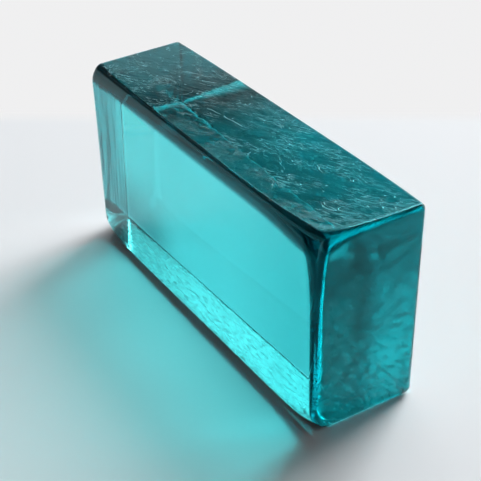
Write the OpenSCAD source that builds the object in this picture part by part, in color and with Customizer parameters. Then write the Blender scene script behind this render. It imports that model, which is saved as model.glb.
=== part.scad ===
// Solid cast glass block, standing on one of its long narrow sides.
// The origin is at the middle of that side, with +X along the length, +Y from the front face to the back
// face, and +Z up. Each corner of the front is rounded by its own amount along X, Y and Z, as the soft
// glass settled in the mould, and the corners of the back are crisper and round alike all ways.

/* [Block] */
// Length, from end to end
block_length = 190; // [120:1:300]
// Height, as the block stands on its long narrow side
block_height = 90; // [60:1:150]
// Thickness, from the front face to the back face
block_thickness = 50; // [40:1:100]

/* [Upper left corner of the front] */
// Reach of its rounding along the length
front_top_left_x = 6; // [1:0.5:25]
// Reach of its rounding along the thickness
front_top_left_y = 7.5; // [1:0.5:18]
// Reach of its rounding along the height
front_top_left_z = 9; // [1:0.5:18]

/* [Lower left corner of the front] */
// Reach of its rounding along the length, which slopes off the foot of the left end
front_bottom_left_x = 18; // [1:0.5:25]
// Reach of its rounding along the thickness
front_bottom_left_y = 7.5; // [1:0.5:18]
// Reach of its rounding along the height
front_bottom_left_z = 9; // [1:0.5:18]

/* [Upper right corner of the front] */
// Reach of its rounding along the length
front_top_right_x = 8; // [1:0.5:25]
// Reach of its rounding along the thickness
front_top_right_y = 5; // [1:0.5:18]
// Reach of its rounding along the height
front_top_right_z = 8; // [1:0.5:18]

/* [Lower right corner of the front] */
// Reach of its rounding along the length, nearly sharp
front_bottom_right_x = 2.5; // [1:0.5:25]
// Reach of its rounding along the thickness, where the front face rolls under the block
front_bottom_right_y = 13; // [1:0.5:18]
// Reach of its rounding along the height
front_bottom_right_z = 16; // [1:0.5:18]

/* [Corners of the back] */
// Rounding of the upper left corner of the back face, nearly sharp
back_top_left_r = 1.5; // [1:0.5:18]
// Rounding of the lower left corner of the back face
back_bottom_left_r = 2; // [1:0.5:18]
// Rounding of the upper right corner of the back face
back_top_right_r = 3; // [1:0.5:18]
// Rounding of the lower right corner of the back face
back_bottom_right_r = 3.5; // [1:0.5:18]

/* [Smoothness] */
// Sides of the full circle that a rounded corner is turned from
corner_sides = 48; // [16:4:64]

/* [Hidden] */

glass_colour = [0.13, 0.62, 0.65, 0.8];
half_size = [block_length, block_thickness, block_height] / 2;

// Each corner of the block: the side of the centre that it is on along X, Y and Z, and the reach of its
// rounding along them
corners = [
    [[-1, -1, 1], [front_top_left_x, front_top_left_y, front_top_left_z]],
    [[-1, -1, -1], [front_bottom_left_x, front_bottom_left_y, front_bottom_left_z]],
    [[1, -1, 1], [front_top_right_x, front_top_right_y, front_top_right_z]],
    [[1, -1, -1], [front_bottom_right_x, front_bottom_right_y, front_bottom_right_z]],
    [[-1, 1, 1], back_top_left_r * [1, 1, 1]],
    [[-1, 1, -1], back_bottom_left_r * [1, 1, 1]],
    [[1, 1, 1], back_top_right_r * [1, 1, 1]],
    [[1, 1, -1], back_bottom_right_r * [1, 1, 1]]
];

// Centre of a corner's rounding, which touches the three faces that meet there
function corner_centre(side, reach) = [
    for (axis = [0:2]) side[axis] * (half_size[axis] - reach[axis])
];

// Ball of radius 1 turned from a half disc, with points exactly on its axes, so that the faces between
// the corners are flat
module unit_ball() {
    rotate_extrude($fn = corner_sides)
        intersection() {
            circle(1, $fn = corner_sides);
            translate([0, -1])
                square([1, 2]);
        }
}

// The casting: a skin drawn tight over the eight rounded corners, so that each edge runs smoothly from
// the rounding of one corner to that of the next
module glass_block() {
    color(glass_colour)
        translate([0, 0, half_size.z])
            hull()
                for (corner = corners)
                    translate(corner_centre(corner[0], corner[1]))
                        scale(corner[1])
                            unit_ball();
}

glass_block();
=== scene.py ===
"""Looks of the solid cast glass block: a rippled teal glass mesh, with painted shade in its tint, on a pale
floor, lit from behind.
"""
import math

import bpy
import numpy as np
from mathutils import Matrix, Vector


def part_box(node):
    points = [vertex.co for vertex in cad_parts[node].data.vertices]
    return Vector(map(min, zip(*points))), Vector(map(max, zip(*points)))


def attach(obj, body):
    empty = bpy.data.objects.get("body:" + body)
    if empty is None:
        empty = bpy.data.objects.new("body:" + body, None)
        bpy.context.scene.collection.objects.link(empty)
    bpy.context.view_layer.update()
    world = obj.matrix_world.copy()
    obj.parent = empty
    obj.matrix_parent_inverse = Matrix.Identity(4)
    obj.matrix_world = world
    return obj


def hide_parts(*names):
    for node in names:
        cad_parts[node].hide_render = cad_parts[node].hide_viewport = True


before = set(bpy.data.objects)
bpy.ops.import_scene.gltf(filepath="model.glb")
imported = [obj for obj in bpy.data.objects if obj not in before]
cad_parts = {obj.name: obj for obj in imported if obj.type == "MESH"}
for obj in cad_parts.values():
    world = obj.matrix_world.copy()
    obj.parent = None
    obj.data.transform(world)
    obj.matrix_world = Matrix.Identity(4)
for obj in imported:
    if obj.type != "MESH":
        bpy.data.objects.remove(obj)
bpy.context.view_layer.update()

MM = 0.001

# Block, from the frame
NODE = "glass_block"
low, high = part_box(NODE)
centre = np.array((low + high) / 2)
half = np.array((high - low) / 2)

# Cells along each axis of the surface grid, and how strongly they crowd towards the edges
GRID_CELLS = (260, 84, 72)
EDGE_CROWDING = 0.6

# Each corner, by its side of the centre along X, Y and Z, and the reach of its rounding along them,
# in millimetres
CORNER_REACH = {
    (-1, -1, 1): (6, 7.5, 9),
    (-1, -1, -1): (18, 7.5, 9),
    (1, -1, 1): (8, 5, 8),
    (1, -1, -1): (2.5, 13, 16),
    (-1, 1, 1): (1.5, 1.5, 1.5),
    (-1, 1, -1): (2, 2, 2),
    (1, 1, 1): (3, 3, 3),
    (1, 1, -1): (3.5, 3.5, 3.5),
}

# Two corners of the front are worn: how much more rounding they have along X, Y and Z, and how far that
# reaches, in millimetres
WORN_CORNERS = {
    (1, -1, 1): (5, 6, 3),
    (-1, -1, -1): (0, 5, 11),
}
WORN_REACH = (22, 14, 20)

# Between the corners some edges are crisper, by these shares: the level ones of the back, the front's foot,
# the upper one of the right end, and the front's upper and right ones, which reach back less.
# With a higher power they stay crisp closer to the corners.
BACK_CRISPNESS = 0.85
FOOT_CRISPNESS = 0.6
END_CRISPNESS = 0.5
FRONT_CRISPNESS = 0.5
EDGE_POWER = 4
FOOT_POWER = 12

# Noise: random slopes along each side of its square, which then repeats, and a gain to about -1 to 1
NOISE_CELLS = 256
NOISE_GAIN = 1.5

# First seed of each surface's noise, which takes up to four in a row
TOP_SEED = 10
BOTTOM_SEED = 20
RIGHT_SEED = 30
LEFT_SEED = 40
FRONT_SEED = 50
BACK_SEED = 60
END_TINT_SEED = 70
TOP_TINT_SEED = 80

# Ripples of the cast faces: how deep they go, and from where to where they grow, by how straight the
# surface looks out of its face
TOP_DEPTH = 0.05 * MM
BOTTOM_DEPTH = 0.05 * MM
RIGHT_DEPTH = 0.10 * MM
LEFT_DEPTH = 0.25 * MM
FACE_DEPTH = 0.02 * MM
RIPPLED = (0.35, 0.95)

# Size of the ripples' features in millimetres, with the share of each where several lie on one another
FLOW_BENDS = (24, 10)
FLOW_WAVES = (((9, 1.9), 0.6), ((3.6, 1.3), 0.4))
FLOW_PATCHES = (15, 9)
BLOTCHES = (((13, 9), 0.6), ((6, 4.5), 0.25), ((3, 2.5), 0.15))
# END_BLOTCHES sizes the blotches of the right end's painted shade, not a ripple.
END_BLOTCHES = (((22, 12), 0.6), ((8, 3.5), 0.4))
FINE_FLUTES = (1.8, 40)
BROAD_FLUTES = (6, 30)
FLUTE_PATCHES = (5, 25)
FACE_WAVES = (40, 30)

# Flow lines of the top: their turn from the length in degrees, how far they bend in millimetres, how much
# their strength varies, and the share of it at the left end, which grows to all of it between two places
# along X, in millimetres from the centre
FLOW_TURN = 27
FLOW_BEND = 1.6
FLOW_SWING = 0.45
LEFT_CALM = 0.35
CALM_PLACES = (-75, -25)

# How much broader the blotches of the underside are, along X and Y, and the streaks of the top's painted
# shade
BOTTOM_STRETCH = (1.5, 2)
STREAK_STRETCH = 1.5

# Cosine and sine of the slope of the blotches of the right end's painted shade
END_SLOPE = (0.8, 0.6)

# Fine flutes of the left end fade upwards: the height above the centre where half their strength is left,
# and the height over which they fade, in millimetres
FLUTE_HEIGHT = 10
FLUTE_FADE = 80

# Painted shade on the rounded edges, as dark bands, and on the front's foot, where it also darkens the
# shadow on the floor:
# its tint, from where to where it grows, by how far the surface turns to both faces of the edge, and its
# layers on the front's upper edge and foot
EDGE_SHADE_TINT = (0.01, 0.07, 0.085)
FRONT_TOP_EDGE = (0.03, 0.18)
FRONT_RIGHT_EDGE = (0.2, 0.45)
RIGHT_TOP_EDGE = (0.12, 0.32)
FOOT_DOWN = (0.42, 0.62)
FOOT_FORWARD = (0.05, 0.15)
FRONT_TOP_LAYERS = 1.6
FOOT_LAYERS = 4

# Painted shade on the faces, as tints that are shares of the light that they leave: the top darker in
# streaks, the right end darker to the back and up in blotches, the back darker to the right, and the
# front's left border and foot and a low band of the left end darker. The pairs say from where to where each
# grows, by how straight the surface looks out of its face, or in millimetres from the centre.
TOP_SHADE_TINT = (0.5, 0.52, 0.54)
TOP_STREAKS = 1.1
TOP_TINT_LIMITS = (0.1, 1)
TOP_FACING = (0.8, 0.95)
END_SHADE_TINT = (0.1, 0.22, 0.23)
END_SHADE = 0.6
END_FACING = (0.9, 0.98)
END_BACKWARD = (-15, 0)
END_UPWARD = (-35, 5)
END_LOWER_SHARE = 0.4
# Painted shade of the back, darker towards the right.
BACK_RIGHT_SHADE = (0.3, 0.63, 0.64)
BACK_FACING = (0.9, 0.98)
BACK_RIGHTWARD = (-10, 60)
# Painted shade at the left: the front's border and foot, and a low band of the left end.
LEFT_SHADE_TINT = (0.27, 0.3, 0.32)
LEFT_FACING = (0.7, 0.9)
LEFT_BORDER = (-57, -75)
LEFT_FOOT = (-5, -37)
LEFT_FOOT_BOTTOM = (-29, -19)
LEFT_FOOT_TOP = (15, -20)
LEFT_BAND_BOTTOM = (-38, -32)
LEFT_BAND_TOP = (-12, -24)

# Fine marks in the surface, too small for the grid: how deep they go
FLOW_MARKS = 0.05 * MM
SWIRL_MARKS = 0.25 * MM
CURLS = 0.09 * MM
PITS = 0.3 * MM
SCRATCHES = 0.24 * MM

# Size of their features along X, Y and Z in millimetres, and the range of noise in which they grow
WAVELET_SIZE = (4, 0.9, 5)
WAVELETS = (0.5, 0.78)
WAVELET_PATCH_SIZE = (16, 9, 9)
WAVELET_PATCHES = (0.42, 0.6)
CURL_SIZE = (11, 7, 9)
CURL_WIDTH = 0.012
CURL_PATCH_SIZE = (14, 9, 9)
CURL_PATCHES = (0.55, 0.62)
SWIRL_SIZE = (5, 3, 5)

# Painted shade in short dark streaks on the right end, in the same way, and the share of the light that
# they take
END_MARK_SIZE = (8, 8, 3.2)
END_MARK_RANGE = (0.46, 0.62)
END_SHADE_STREAKS = 0.55

# Pits: the size of the cells, the share of them with a pit, and its floor and rim as shares of the cell
PIT_SPACING = 3 * MM
PIT_SHARE = 0.15
PIT_RIM = (0.05, 0.2)

# Scratches of the top, from X, Y to X, Y in millimetres, half their width, and how often and
# how far they are jagged
SCRATCH_LINES = (
    ((-20, -1), (-12, 0.3)),
    ((-9, 0.6), (3, 2.2)),
    ((-59, 11), (-50, 15)),
    ((-46, 11.5), (-41, 15)),
)
SCRATCH_WIDTH = 0.4 * MM
JAGS_PER_METRE = 0.25 / MM
JAG = 1.5 * MM

# Glass: its colour comes from the way through it
GLASS_IOR = 1.46
GLASS_ABSORBS = (0.0, 0.907, 0.921)
GLASS_DENSITY = 39
REFLECTION_TINT = (0.0, 0.9, 1.0)

# Roughness of its surface, with the size of the uneven patches in millimetres and their range of the noise
SMOOTH_ROUGHNESS = 0.03
WEAR_SIZE = (9, 9, 9)
WEAR = (0.35, 0.7)
RIGHT_ROUGHNESS = 0.16
LEFT_LEAST_ROUGHNESS = 0.1
LEFT_ROUGHNESS = 0.2
LEFT_STREAK_SIZE = (5, 1.5, 25)
LEFT_STREAKS = (0.35, 0.6)
FOOT_ROUGHNESS = 0.18
BOTTOM_ROUGHNESS = 0.35
RUB_SIZE = (6, 3, 6)
RUBBED = (0.4, 0.65)

# How far from the block's box its faces reach in, and the foot of the left end
FACE_MARGIN = 0.8 * MM
FOOT_REACH = 12 * MM

# Camera: its place, its turns in degrees, its lens in pixels of the picture, the width of the sensor in
# millimetres, and the nearest distance that it sees in metres
CAMERA_AT = Vector((369.25, -223.77, 302.07)) * MM
CAMERA_AZIMUTH = 59.003
CAMERA_ELEVATION = 31.568
CAMERA_ROLL = -0.938
IMAGE_PIXELS = 481
FOCAL_PIXELS = 1140.2
SHIFT_PIXELS = (6, -8)
SENSOR_WIDTH = 36
CLIP_START = 0.01

# Soft boxes: the way to each in degrees, its distance and size in metres, and its power in watts
KEY_LIGHT = {"azimuth": 20, "elevation": 33, "distance": 3.0, "size": (1.27, 3.0), "power": 124}
FILL_LIGHT = {"azimuth": 52, "elevation": 50.8, "distance": 10.0, "size": (6.8, 7.0), "power": 265}
SIDE_LIGHT = {"azimuth": 121, "elevation": 32, "distance": 5.0, "size": (2.2, 1.6), "power": 4}

# How often light may bounce in the glass
LIGHT_BOUNCES = 32

# Backdrop: its colour, and the sines of the heights between which it fades out
BACKDROP_COLOUR = (0.87, 0.87, 0.875)
BACKDROP_TOP = (0.12, 0.16)

# Room: dark on the camera's side, with a pale wall behind the block, bright along its foot. The wall has a
# level at each of some heights, which are measured along a tilted axis.
ROOM_LEVEL = 0.04
WALL_AZIMUTH = 45
WALL_SPAN = (-0.1, 0.5)
WALL_UP = (-0.10, -0.20, 1.0)
WALL_LEVELS = ((0.0, 2.2), (0.2, 2.2), (0.34, 0.8), (0.395, 0.6), (0.42, 0.06), (1.0, 0.02))

# Floor, in metres: it ends in the backdrop along a line behind the block
FLOOR_COLOUR = (0.785, 0.81, 0.835)
FLOOR_SIZE = 6.0
FLOOR_GAP = 0.1 * MM
FLOOR_REACH = 0.192
FLOOR_BLEND = 0.02
FLOOR_LINE_AZIMUTH = 56.85


def smoothstep(t):
    """Ease from 0 to 1 with no slope at either end."""
    t = np.clip(t, 0, 1)
    return t * t * (3 - 2 * t)


def ramp(value, start, stop):
    """Ease from 0 to 1 while the value goes from start to stop."""
    return smoothstep((value - start) / (stop - start))


def gradient_noise(u, v, size, seed):
    """Smooth noise of about -1 to 1 at the points u, v, with features of the given size along them."""
    u, v = u / size[0], v / size[1]
    angle = np.random.default_rng(seed).uniform(0, 2 * np.pi, (NOISE_CELLS, NOISE_CELLS))
    cell_u, cell_v = np.floor(u).astype(int), np.floor(v).astype(int)
    part_u, part_v = u - cell_u, v - cell_v
    total = np.zeros_like(part_u)
    for du in (0, 1):
        for dv in (0, 1):
            slope = angle[(cell_u + du) % NOISE_CELLS, (cell_v + dv) % NOISE_CELLS]
            height = np.cos(slope) * (part_u - du) + np.sin(slope) * (part_v - dv)
            weight = smoothstep(1 - abs(part_u - du)) * smoothstep(1 - abs(part_v - dv))
            total += weight * height
    return total * NOISE_GAIN


def layered_noise(u, v, layers, seed):
    """Noise of several sizes, each with its share of the whole."""
    return sum(share * gradient_noise(u, v, size, seed + n) for n, (size, share) in enumerate(layers))


def crowded(cells):
    """Grid positions from -1 to 1, closer together towards both ends."""
    s = np.linspace(-1, 1, cells + 1)
    return (1 - EDGE_CROWDING) * s + EDGE_CROWDING * np.sin(np.pi / 2 * s)


def box_grid():
    """Points of a grid over a box of half size 1, and its faces, with shared points along the edges."""
    lines = [crowded(cells) for cells in GRID_CELLS]
    index = {}
    points, faces = [], []

    def point(i, j, k):
        key = (i, j, k)
        if key not in index:
            index[key] = len(points)
            points.append((lines[0][i], lines[1][j], lines[2][k]))
        return index[key]

    for axis in range(3):
        a, b = (axis + 1) % 3, (axis + 2) % 3
        for end in (0, GRID_CELLS[axis]):
            for m in range(GRID_CELLS[a]):
                for n in range(GRID_CELLS[b]):
                    corner = []
                    for dm, dn in ((0, 0), (1, 0), (1, 1), (0, 1)):
                        at = [0, 0, 0]
                        at[axis], at[a], at[b] = end, m + dm, n + dn
                        corner.append(point(*at))
                    faces.append(corner if end else corner[::-1])
    return np.array(points), faces


def unit(vectors):
    """The vectors at length 1."""
    return vectors / np.linalg.norm(vectors, axis=1)[:, None]


def corner_rounding(side):
    """Reach of the rounding at each point of the box, shared out between the corners, with their wear."""
    reach = np.zeros(side.shape)
    for signs, corner_reach in CORNER_REACH.items():
        share = np.prod((1 + side * signs) / 2, axis=1)
        reach += share[:, None] * np.array(corner_reach) * MM
    for signs, more in WORN_CORNERS.items():
        from_corner = (np.array(signs) - side) * half / (np.array(WORN_REACH) * MM)
        worn = np.exp(-np.sum(from_corner ** 2, axis=1))
        reach += worn[:, None] * np.array(more) * MM
    return reach


def edge_rounding(side):
    """Reach of the rounding at each point of the box, less where the edges are crisp."""
    reach = corner_rounding(side)
    right, back, upper = (1 + side.T) / 2
    front, lower = 1 - back, 1 - upper
    between_ends, between_faces, between_beds = 1 - side.T ** EDGE_POWER
    foot = front * lower * (1 - side[:, 0] ** FOOT_POWER)
    reach *= 1 - BACK_CRISPNESS * (back * between_ends)[:, None]
    reach *= 1 - FOOT_CRISPNESS * foot[:, None]
    reach *= 1 - END_CRISPNESS * (right * upper * between_faces)[:, None]
    reach[:, 1] *= 1 - FRONT_CRISPNESS * front * np.maximum(upper * between_ends, right * between_beds)
    return reach


def rounded_block(side):
    """Points on the block with its rounded edges, and the way that the surface faces there."""
    reach = edge_rounding(side)
    flat = side * half
    core = np.clip(flat, reach - half, half - reach)
    ball = unit((flat - core) / reach)
    return core + reach * ball, unit(ball / reach)


def along_flow(x, y):
    """Distances along and across the flow lines of the top."""
    turn = math.radians(FLOW_TURN)
    return x * math.cos(turn) + y * math.sin(turn), y * math.cos(turn) - x * math.sin(turn)


def flow_ripples(x, y, seed):
    """Long low wavelets, drawn out along the flow lines, of about -1 to 1."""
    along, across = along_flow(x, y)
    bent = across + FLOW_BEND * gradient_noise(along, across, FLOW_BENDS, seed)
    waves = layered_noise(along, bent, FLOW_WAVES, seed + 1)
    patches = gradient_noise(along, across, FLOW_PATCHES, seed + 3)
    return waves * (1 - FLOW_SWING + FLOW_SWING * patches)


def flutes(y, z):
    """Upright flutes of about -1 to 1, the fine ones stronger towards the foot."""
    fine = gradient_noise(y, z, FINE_FLUTES, LEFT_SEED)
    broad = gradient_noise(y, z, BROAD_FLUTES, LEFT_SEED + 1)
    patches = gradient_noise(y, z, FLUTE_PATCHES, LEFT_SEED + 2)
    strength = smoothstep(0.5 + patches + (FLUTE_HEIGHT - z) / FLUTE_FADE)
    return 0.5 * broad + 0.5 * fine * strength


def end_shade_blotches(y, z):
    """Uneven streaks across the right end for its painted shade, rising to the back, of about -1 to 1."""
    cosine, sine = END_SLOPE
    return layered_noise(cosine * y + sine * z, cosine * z - sine * y, END_BLOTCHES, END_TINT_SEED)


def relief(at, outward):
    """How far the cast surface lies under the plain block at each point."""
    x, y, z = (at / MM).T
    facing_x, facing_y, facing_z = ramp(abs(outward), *RIPPLED).T
    right, back, upper = (outward > 0).T
    calm = LEFT_CALM + (1 - LEFT_CALM) * ramp(x, *CALM_PLACES)
    stretch_x, stretch_y = BOTTOM_STRETCH
    top = TOP_DEPTH * (1 + flow_ripples(x, y, TOP_SEED) * calm)
    bottom = BOTTOM_DEPTH * (1 + layered_noise(x / stretch_x, y / stretch_y, BLOTCHES, BOTTOM_SEED))
    right_end = RIGHT_DEPTH * (1 + layered_noise(y, z, BLOTCHES, RIGHT_SEED))
    left_end = LEFT_DEPTH * (1 + flutes(y, z))
    front_face = FACE_DEPTH * (1 + gradient_noise(x, z, FACE_WAVES, FRONT_SEED))
    back_face = FACE_DEPTH * (1 + gradient_noise(x, z, FACE_WAVES, BACK_SEED))
    narrow_side = facing_z * np.where(upper, top, bottom)
    end = facing_x * np.where(right, right_end, left_end)
    broad_face = facing_y * np.where(back, back_face, front_face)
    return narrow_side + end + broad_face


def edge_shade_layers(outward):
    """Layers of painted shade on the front's rounded edges and the right end's upper one, as dark bands,
    and on the foot, where it also darkens the shadow on the floor.
    """
    x, y, z = outward.T
    front_top = FRONT_TOP_LAYERS * ramp(np.minimum(-y, z), *FRONT_TOP_EDGE)
    front_right = ramp(np.minimum(x, -y), *FRONT_RIGHT_EDGE)
    right_top = ramp(np.minimum(x, z), *RIGHT_TOP_EDGE)
    foot = FOOT_LAYERS * ramp(-z, *FOOT_DOWN) * ramp(-y, *FOOT_FORWARD)
    return np.maximum.reduce([front_top, front_right, right_top, foot])


def shade_over(share, tint):
    """Light that is left by painted shade of a tint over the given share of the surface."""
    return 1 - share[:, None] * (1 - np.array(tint))


def painted_top_shade(x, y):
    """Painted shade of the top, in streaks along its flow lines."""
    streaks = flow_ripples(x / STREAK_STRETCH, y / STREAK_STRETCH, TOP_TINT_SEED)
    return np.clip(np.array(TOP_SHADE_TINT) * (1 + TOP_STREAKS * streaks)[:, None], *TOP_TINT_LIMITS)


def painted_end_shade(y, z):
    """Painted shade of the right end, darker to the back and up, with blotches."""
    shade = 0.5 + 0.5 * end_shade_blotches(y, z)
    rising = END_LOWER_SHARE + (1 - END_LOWER_SHARE) * ramp(z, *END_UPWARD)
    return shade_over(ramp(y, *END_BACKWARD) * rising, END_SHADE_TINT) * (1 - END_SHADE * shade)[:, None]


def left_shade_share(at, outward):
    """Share of the painted shade at the left: the front's border and foot there, and a band low on the left
    end.
    """
    x, _, z = (at / MM).T
    border = ramp(x, *LEFT_BORDER)
    foot = ramp(x, *LEFT_FOOT) * ramp(z, *LEFT_FOOT_BOTTOM) * ramp(z, *LEFT_FOOT_TOP)
    band = ramp(z, *LEFT_BAND_TOP) * ramp(z, *LEFT_BAND_BOTTOM)
    on_left, on_front, _ = ramp(-outward, *LEFT_FACING).T
    return np.maximum(on_front * np.maximum(border, foot), on_left * band)


def painted_shade_colour(at, outward):
    """Colour of the cast surface: painted shade as dark bands on the rounded edges, and as uneven darkening
    of the faces.
    """
    place_x, place_y, place_z = (at / MM).T
    x, y, z = outward.T
    tint = np.array(EDGE_SHADE_TINT) ** edge_shade_layers(outward)[:, None]
    tint *= shade_over(ramp(z, *TOP_FACING), painted_top_shade(place_x, place_y))
    tint *= shade_over(ramp(x, *END_FACING), painted_end_shade(place_y, place_z))
    tint *= shade_over(ramp(y, *BACK_FACING) * ramp(place_x, *BACK_RIGHTWARD), BACK_RIGHT_SHADE)
    tint *= shade_over(left_shade_share(at, outward), LEFT_SHADE_TINT)
    return np.column_stack((tint, np.ones(len(tint))))


def make_block():
    """Fine mesh of the block, with the painted shade of its surface as a colour at each point."""
    side, faces = box_grid()
    at, outward = rounded_block(side)
    at -= outward * relief(at, outward)[:, None]
    mesh = bpy.data.meshes.new("glass_block_cast")
    mesh.from_pydata((at + centre).tolist(), [], faces)
    mesh.shade_smooth()
    tint = mesh.attributes.new("tint", "FLOAT_COLOR", "POINT")
    tint.data.foreach_set("color", painted_shade_colour(at, outward).ravel())
    block = bpy.data.objects.new("glass_block_cast", mesh)
    bpy.context.scene.collection.objects.link(block)
    return block


def new_material(name):
    material = bpy.data.materials.new(name)
    material.use_nodes = True
    material.node_tree.nodes.clear()
    return material, material.node_tree


def add(tree, kind, inputs, **settings):
    """Add a shader node, with each input set to a value or linked to another node's output."""
    made = tree.nodes.new("ShaderNode" + kind)
    for name, value in settings.items():
        setattr(made, name, value)
    for name, value in inputs.items():
        if isinstance(value, bpy.types.NodeSocket):
            tree.links.new(value, made.inputs[name])
        else:
            made.inputs[name].default_value = value
    return made


def combine(tree, operation, first, *others):
    """Work a row of numbers together, from the first on."""
    for other in others:
        first = add(tree, "Math", {0: first, 1: other}, operation=operation).outputs[0]
    return first


def vector_math(tree, operation, inputs, output="Vector"):
    return add(tree, "VectorMath", inputs, operation=operation).outputs[output]


def ease(tree, value, start, stop, at_start=0.0, at_stop=1.0):
    """Go smoothly from one number to another while the value goes from start to stop."""
    limits = {"Value": value, "From Min": start, "From Max": stop, "To Min": at_start, "To Max": at_stop}
    return add(tree, "MapRange", limits, interpolation_type="SMOOTHSTEP").outputs["Result"]


def noise(tree, place, size, turn=0, detail=2):
    """Noise between 0 and 1, with features of that size in millimetres along X, Y and Z, turned about Z."""
    scale = tuple(length * MM for length in size)
    mapping = {"Vector": place, "Scale": scale, "Rotation": (0, 0, math.radians(turn))}
    mapped = add(tree, "Mapping", mapping, vector_type="TEXTURE").outputs["Vector"]
    return add(tree, "TexNoise", {"Vector": mapped, "Scale": 1, "Detail": detail}).outputs["Fac"]


def thin_lines(tree, place, size, width):
    """Fine curled lines, where a broad noise passes through its middle."""
    field = noise(tree, place, size)
    distance = combine(tree, "ABSOLUTE", combine(tree, "SUBTRACT", field, 0.5), 0)
    return ease(tree, distance, 0, width, 1, 0)


def pits(tree, place):
    """Small round pits, in some of the cells."""
    cells = add(tree, "TexVoronoi", {"Vector": place, "Scale": 1 / PIT_SPACING})
    chosen = add(tree, "SeparateXYZ", {"Vector": cells.outputs["Color"]}).outputs["X"]
    dome = ease(tree, cells.outputs["Distance"], *PIT_RIM, 1, 0)
    return combine(tree, "MULTIPLY", dome, combine(tree, "LESS_THAN", chosen, PIT_SHARE))


def scratch(tree, place, start, stop):
    """Straight scratch between two points of the top."""
    first = Vector((*start, 0)) * MM
    along = Vector((*stop, 0)) * MM - first
    level = vector_math(tree, "MULTIPLY", {0: place, 1: (1, 1, 0)})
    offset = vector_math(tree, "SUBTRACT", {0: level, 1: first})
    dot = vector_math(tree, "DOT_PRODUCT", {0: offset, 1: along}, "Value")
    way = combine(tree, "DIVIDE", dot, along.length_squared)
    share = add(tree, "Clamp", {"Value": way}).outputs["Result"]
    nearest = vector_math(tree, "SCALE", {0: along, "Scale": share})
    distance = vector_math(tree, "DISTANCE", {0: offset, 1: nearest}, "Value")
    return ease(tree, distance, 0, SCRATCH_WIDTH, 1, 0)


def top_marks(tree, place, dots):
    """Height of the top's wavelets, curls, pits and scratches, in metres."""
    wavelets = ease(tree, noise(tree, place, WAVELET_SIZE, FLOW_TURN), *WAVELETS)
    wavelet_patches = ease(tree, noise(tree, place, WAVELET_PATCH_SIZE, FLOW_TURN), *WAVELET_PATCHES)
    flow = combine(tree, "MULTIPLY", wavelets, wavelet_patches, FLOW_MARKS)
    lines = thin_lines(tree, place, CURL_SIZE, CURL_WIDTH)
    curl_patches = ease(tree, noise(tree, place, CURL_PATCH_SIZE), *CURL_PATCHES)
    curls = combine(tree, "MULTIPLY", lines, curl_patches, CURLS)
    height = combine(tree, "ADD", flow, combine(tree, "SUBTRACT", curls, dots))
    shift = add(tree, "TexNoise", {"Vector": place, "Scale": JAGS_PER_METRE}).outputs["Color"]
    jagged = vector_math(tree, "MULTIPLY_ADD", {0: shift, 1: (JAG, JAG, JAG), 2: place})
    for start, stop in SCRATCH_LINES:
        groove = combine(tree, "MULTIPLY", scratch(tree, jagged, start, stop), SCRATCHES)
        height = combine(tree, "SUBTRACT", height, groove)
    return height


def surface_marks(tree, place, faces):
    """Height of the fine marks on the top and the underside, in metres."""
    dots = combine(tree, "MULTIPLY", pits(tree, place), PITS)
    top = top_marks(tree, place, dots)
    swirls = combine(tree, "MULTIPLY", noise(tree, place, SWIRL_SIZE, detail=3), SWIRL_MARKS)
    bottom = combine(tree, "SUBTRACT", swirls, dots)
    on_top = combine(tree, "MULTIPLY", top, faces["top"])
    return combine(tree, "ADD", on_top, combine(tree, "MULTIPLY", bottom, faces["bottom"]))


def end_shade_streaks(tree, place, faces):
    """Share of the light that is left by the painted shade of short dark streaks on the right end."""
    streaks = ease(tree, noise(tree, place, END_MARK_SIZE, detail=3), *END_MARK_RANGE, 0, END_SHADE_STREAKS)
    return combine(tree, "SUBTRACT", 1, combine(tree, "MULTIPLY", streaks, faces["right"]))


def surface_roughness(tree, place, faces):
    """Nearly clear faces, a satin right end, a left end with satin streaks, and a rubbed underside."""
    clear = ease(tree, noise(tree, place, WEAR_SIZE, detail=4), *WEAR, 0, SMOOTH_ROUGHNESS)
    right = combine(tree, "MULTIPLY", faces["right"], RIGHT_ROUGHNESS)
    streaks = noise(tree, place, LEFT_STREAK_SIZE)
    satin = ease(tree, streaks, *LEFT_STREAKS, LEFT_LEAST_ROUGHNESS, LEFT_ROUGHNESS)
    left = combine(tree, "MULTIPLY", faces["left"], satin)
    foot = combine(tree, "MULTIPLY", faces["foot"], FOOT_ROUGHNESS)
    rubbed = ease(tree, noise(tree, place, RUB_SIZE, detail=3), *RUBBED, 0, BOTTOM_ROUGHNESS)
    bottom = combine(tree, "MULTIPLY", faces["bottom"], rubbed)
    return combine(tree, "MAXIMUM", clear, left, foot, right, bottom)


def face_masks(tree, place):
    """Where each face lies, and the foot of the left end, from 0 to 1."""
    x, _, z = add(tree, "SeparateXYZ", {"Vector": place}).outputs
    from_left = combine(tree, "SUBTRACT", x, low.x)
    from_foot = combine(tree, "ADD", from_left, combine(tree, "SUBTRACT", z, low.z))
    return {
        "top": ease(tree, z, high.z - FACE_MARGIN, high.z - FACE_MARGIN / 2),
        "bottom": ease(tree, z, low.z + FACE_MARGIN / 2, low.z + FACE_MARGIN, 1, 0),
        "right": ease(tree, x, high.x - FACE_MARGIN, high.x - FACE_MARGIN / 2),
        "left": ease(tree, x, low.x + FACE_MARGIN / 2, low.x + FACE_MARGIN, 1, 0),
        "foot": ease(tree, from_foot, FOOT_REACH / 2, FOOT_REACH, 1, 0),
    }


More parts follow.
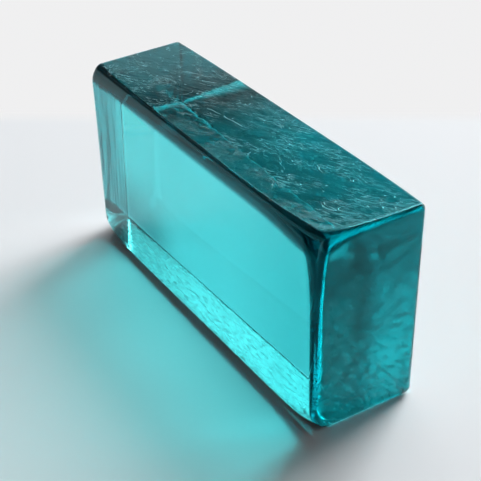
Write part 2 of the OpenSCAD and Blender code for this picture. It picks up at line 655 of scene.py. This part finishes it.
def teal_glass():
    """Clear glass that takes up red on the way through it, with the cast surface's marks and its tint of
    painted shade.
    """
    material, tree = new_material("teal_glass")
    place = add(tree, "TexCoord", {}).outputs["Object"]
    faces = face_masks(tree, place)
    bump = add(tree, "Bump", {"Height": surface_marks(tree, place, faces), "Strength": 1, "Distance": 1})
    # The point colours carry the painted shade of the surface.
    tint = add(tree, "Attribute", {}, attribute_name="tint").outputs["Color"]
    glass = add(tree, "BsdfPrincipled", {
        "Base Color": vector_math(tree, "SCALE", {0: tint, "Scale": end_shade_streaks(tree, place, faces)}),
        "IOR": GLASS_IOR,
        "Specular Tint": (*REFLECTION_TINT, 1),
        "Transmission Weight": 1,
        "Roughness": surface_roughness(tree, place, faces),
        "Normal": bump.outputs["Normal"],
    })
    absorb = add(tree, "VolumeAbsorption", {"Color": (*GLASS_ABSORBS, 1), "Density": GLASS_DENSITY})
    add(tree, "OutputMaterial", {"Surface": glass.outputs["BSDF"], "Volume": absorb.outputs["Volume"]})
    return material


def direction(azimuth, elevation=0):
    """Direction to the back at azimuth 0 and to the left end at 90, raised by the elevation."""
    a, e = math.radians(azimuth), math.radians(elevation)
    return Vector((-math.sin(a) * math.cos(e), math.cos(a) * math.cos(e), math.sin(e)))


def floor_material():
    """Matt floor that turns into an even pale backdrop some way behind the block."""
    material, tree = new_material("floor")
    place = add(tree, "NewGeometry", {}).outputs["Position"]
    reach = vector_math(tree, "DOT_PRODUCT", {0: place, 1: direction(FLOOR_LINE_AZIMUTH)}, "Value")
    far = ease(tree, reach, FLOOR_REACH - FLOOR_BLEND / 2, FLOOR_REACH + FLOOR_BLEND / 2)
    matt = add(tree, "BsdfDiffuse", {"Color": (*FLOOR_COLOUR, 1)}).outputs["BSDF"]
    backdrop = add(tree, "Emission", {"Color": (*BACKDROP_COLOUR, 1)}).outputs["Emission"]
    surface = add(tree, "MixShader", {0: far, 1: matt, 2: backdrop}).outputs["Shader"]
    add(tree, "OutputMaterial", {"Surface": surface})
    return material


def make_floor():
    """Level square just under the block."""
    reach = FLOOR_SIZE / 2
    height = low.z - FLOOR_GAP
    signs = ((-1, -1), (1, -1), (1, 1), (-1, 1))
    corners = [(x * reach, y * reach, height) for x, y in signs]
    mesh = bpy.data.meshes.new("floor")
    mesh.from_pydata(corners, [], [(0, 1, 2, 3)])
    floor = bpy.data.objects.new("floor", mesh)
    bpy.context.scene.collection.objects.link(floor)
    mesh.materials.append(floor_material())


def room_level(tree, way):
    """Brightness of the room along a way out of it."""
    towards = vector_math(tree, "DOT_PRODUCT", {0: way, 1: direction(WALL_AZIMUTH)}, "Value")
    height = vector_math(tree, "DOT_PRODUCT", {0: way, 1: WALL_UP}, "Value")
    wall = add(tree, "ValToRGB", {"Fac": height})
    steps = wall.color_ramp.elements
    while len(steps) < len(WALL_LEVELS):
        steps.new(0.5)
    for step, (sine, level) in zip(steps, WALL_LEVELS):
        step.position = sine
        step.color = (level, level, level, 1)
    behind = combine(tree, "MULTIPLY", ease(tree, towards, *WALL_SPAN), wall.outputs["Color"])
    return combine(tree, "ADD", behind, ROOM_LEVEL)


def backdrop_share(tree, way):
    """Share of the backdrop, low down, for the camera and for what is seen in or through the glass."""
    path = add(tree, "LightPath", {}).outputs
    in_glass = combine(tree, "MAXIMUM", path["Is Glossy Ray"], path["Is Transmission Ray"])
    seen = combine(tree, "MAXIMUM", path["Is Camera Ray"], in_glass)
    sine = add(tree, "SeparateXYZ", {"Vector": way}).outputs["Z"]
    return combine(tree, "MULTIPLY", seen, ease(tree, sine, *BACKDROP_TOP, 1, 0))


def make_world():
    """Room around the block, which ends low down in an even pale backdrop for all that looks at it."""
    world = bpy.data.worlds.new("studio")
    world.use_nodes = True
    tree = world.node_tree
    tree.nodes.clear()
    way = add(tree, "TexCoord", {}).outputs["Generated"]
    levels = {0: backdrop_share(tree, way), 2: room_level(tree, way), 3: 1.0}
    level = add(tree, "Mix", levels, data_type="FLOAT").outputs[0]
    background = add(tree, "Background", {"Color": (*BACKDROP_COLOUR, 1), "Strength": level})
    add(tree, "OutputWorld", {"Surface": background.outputs["Background"]})
    bpy.context.scene.world = world


def make_light(name, azimuth, elevation, distance, size, power):
    """Soft box that faces the block."""
    data = bpy.data.lights.new(name, "AREA")
    data.shape = "RECTANGLE"
    data.size, data.size_y = size
    data.energy = power
    light = bpy.data.objects.new(name, data)
    towards = direction(azimuth, elevation)
    light.location = Vector(centre) + towards * distance
    light.rotation_euler = towards.to_track_quat("Z", "Y").to_euler()
    light.visible_camera = False
    bpy.context.scene.collection.objects.link(light)


def make_camera():
    """Camera that looks down on the block from the front and the right."""
    data = bpy.data.cameras.new("camera")
    data.sensor_width = SENSOR_WIDTH
    data.lens = FOCAL_PIXELS / IMAGE_PIXELS * SENSOR_WIDTH
    data.shift_x, data.shift_y = (pixels / IMAGE_PIXELS for pixels in SHIFT_PIXELS)
    data.clip_start = CLIP_START
    camera = bpy.data.objects.new("camera", data)
    forward = direction(CAMERA_AZIMUTH, -CAMERA_ELEVATION)
    level = forward.to_track_quat("-Z", "Y").to_matrix()
    rolled = level @ Matrix.Rotation(math.radians(CAMERA_ROLL), 3, "Z")
    camera.matrix_world = Matrix.Translation(CAMERA_AT) @ rolled.to_4x4()
    bpy.context.scene.collection.objects.link(camera)
    bpy.context.scene.camera = camera


def set_light_paths():
    """Plain colours, and enough bounces for light that is trapped in the glass."""
    scene = bpy.context.scene
    scene.view_settings.view_transform = "Standard"
    scene.cycles.max_bounces = LIGHT_BOUNCES
    scene.cycles.transmission_bounces = LIGHT_BOUNCES
    scene.cycles.glossy_bounces = LIGHT_BOUNCES
    scene.cycles.sample_clamp_indirect = 0
    scene.cycles.blur_glossy = 0


make_camera()
make_floor()
make_world()
make_light("key", **KEY_LIGHT)
make_light("fill", **FILL_LIGHT)
make_light("side", **SIDE_LIGHT)
set_light_paths()

block = make_block()
block.data.materials.append(teal_glass())
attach(block, "root")
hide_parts(NODE)
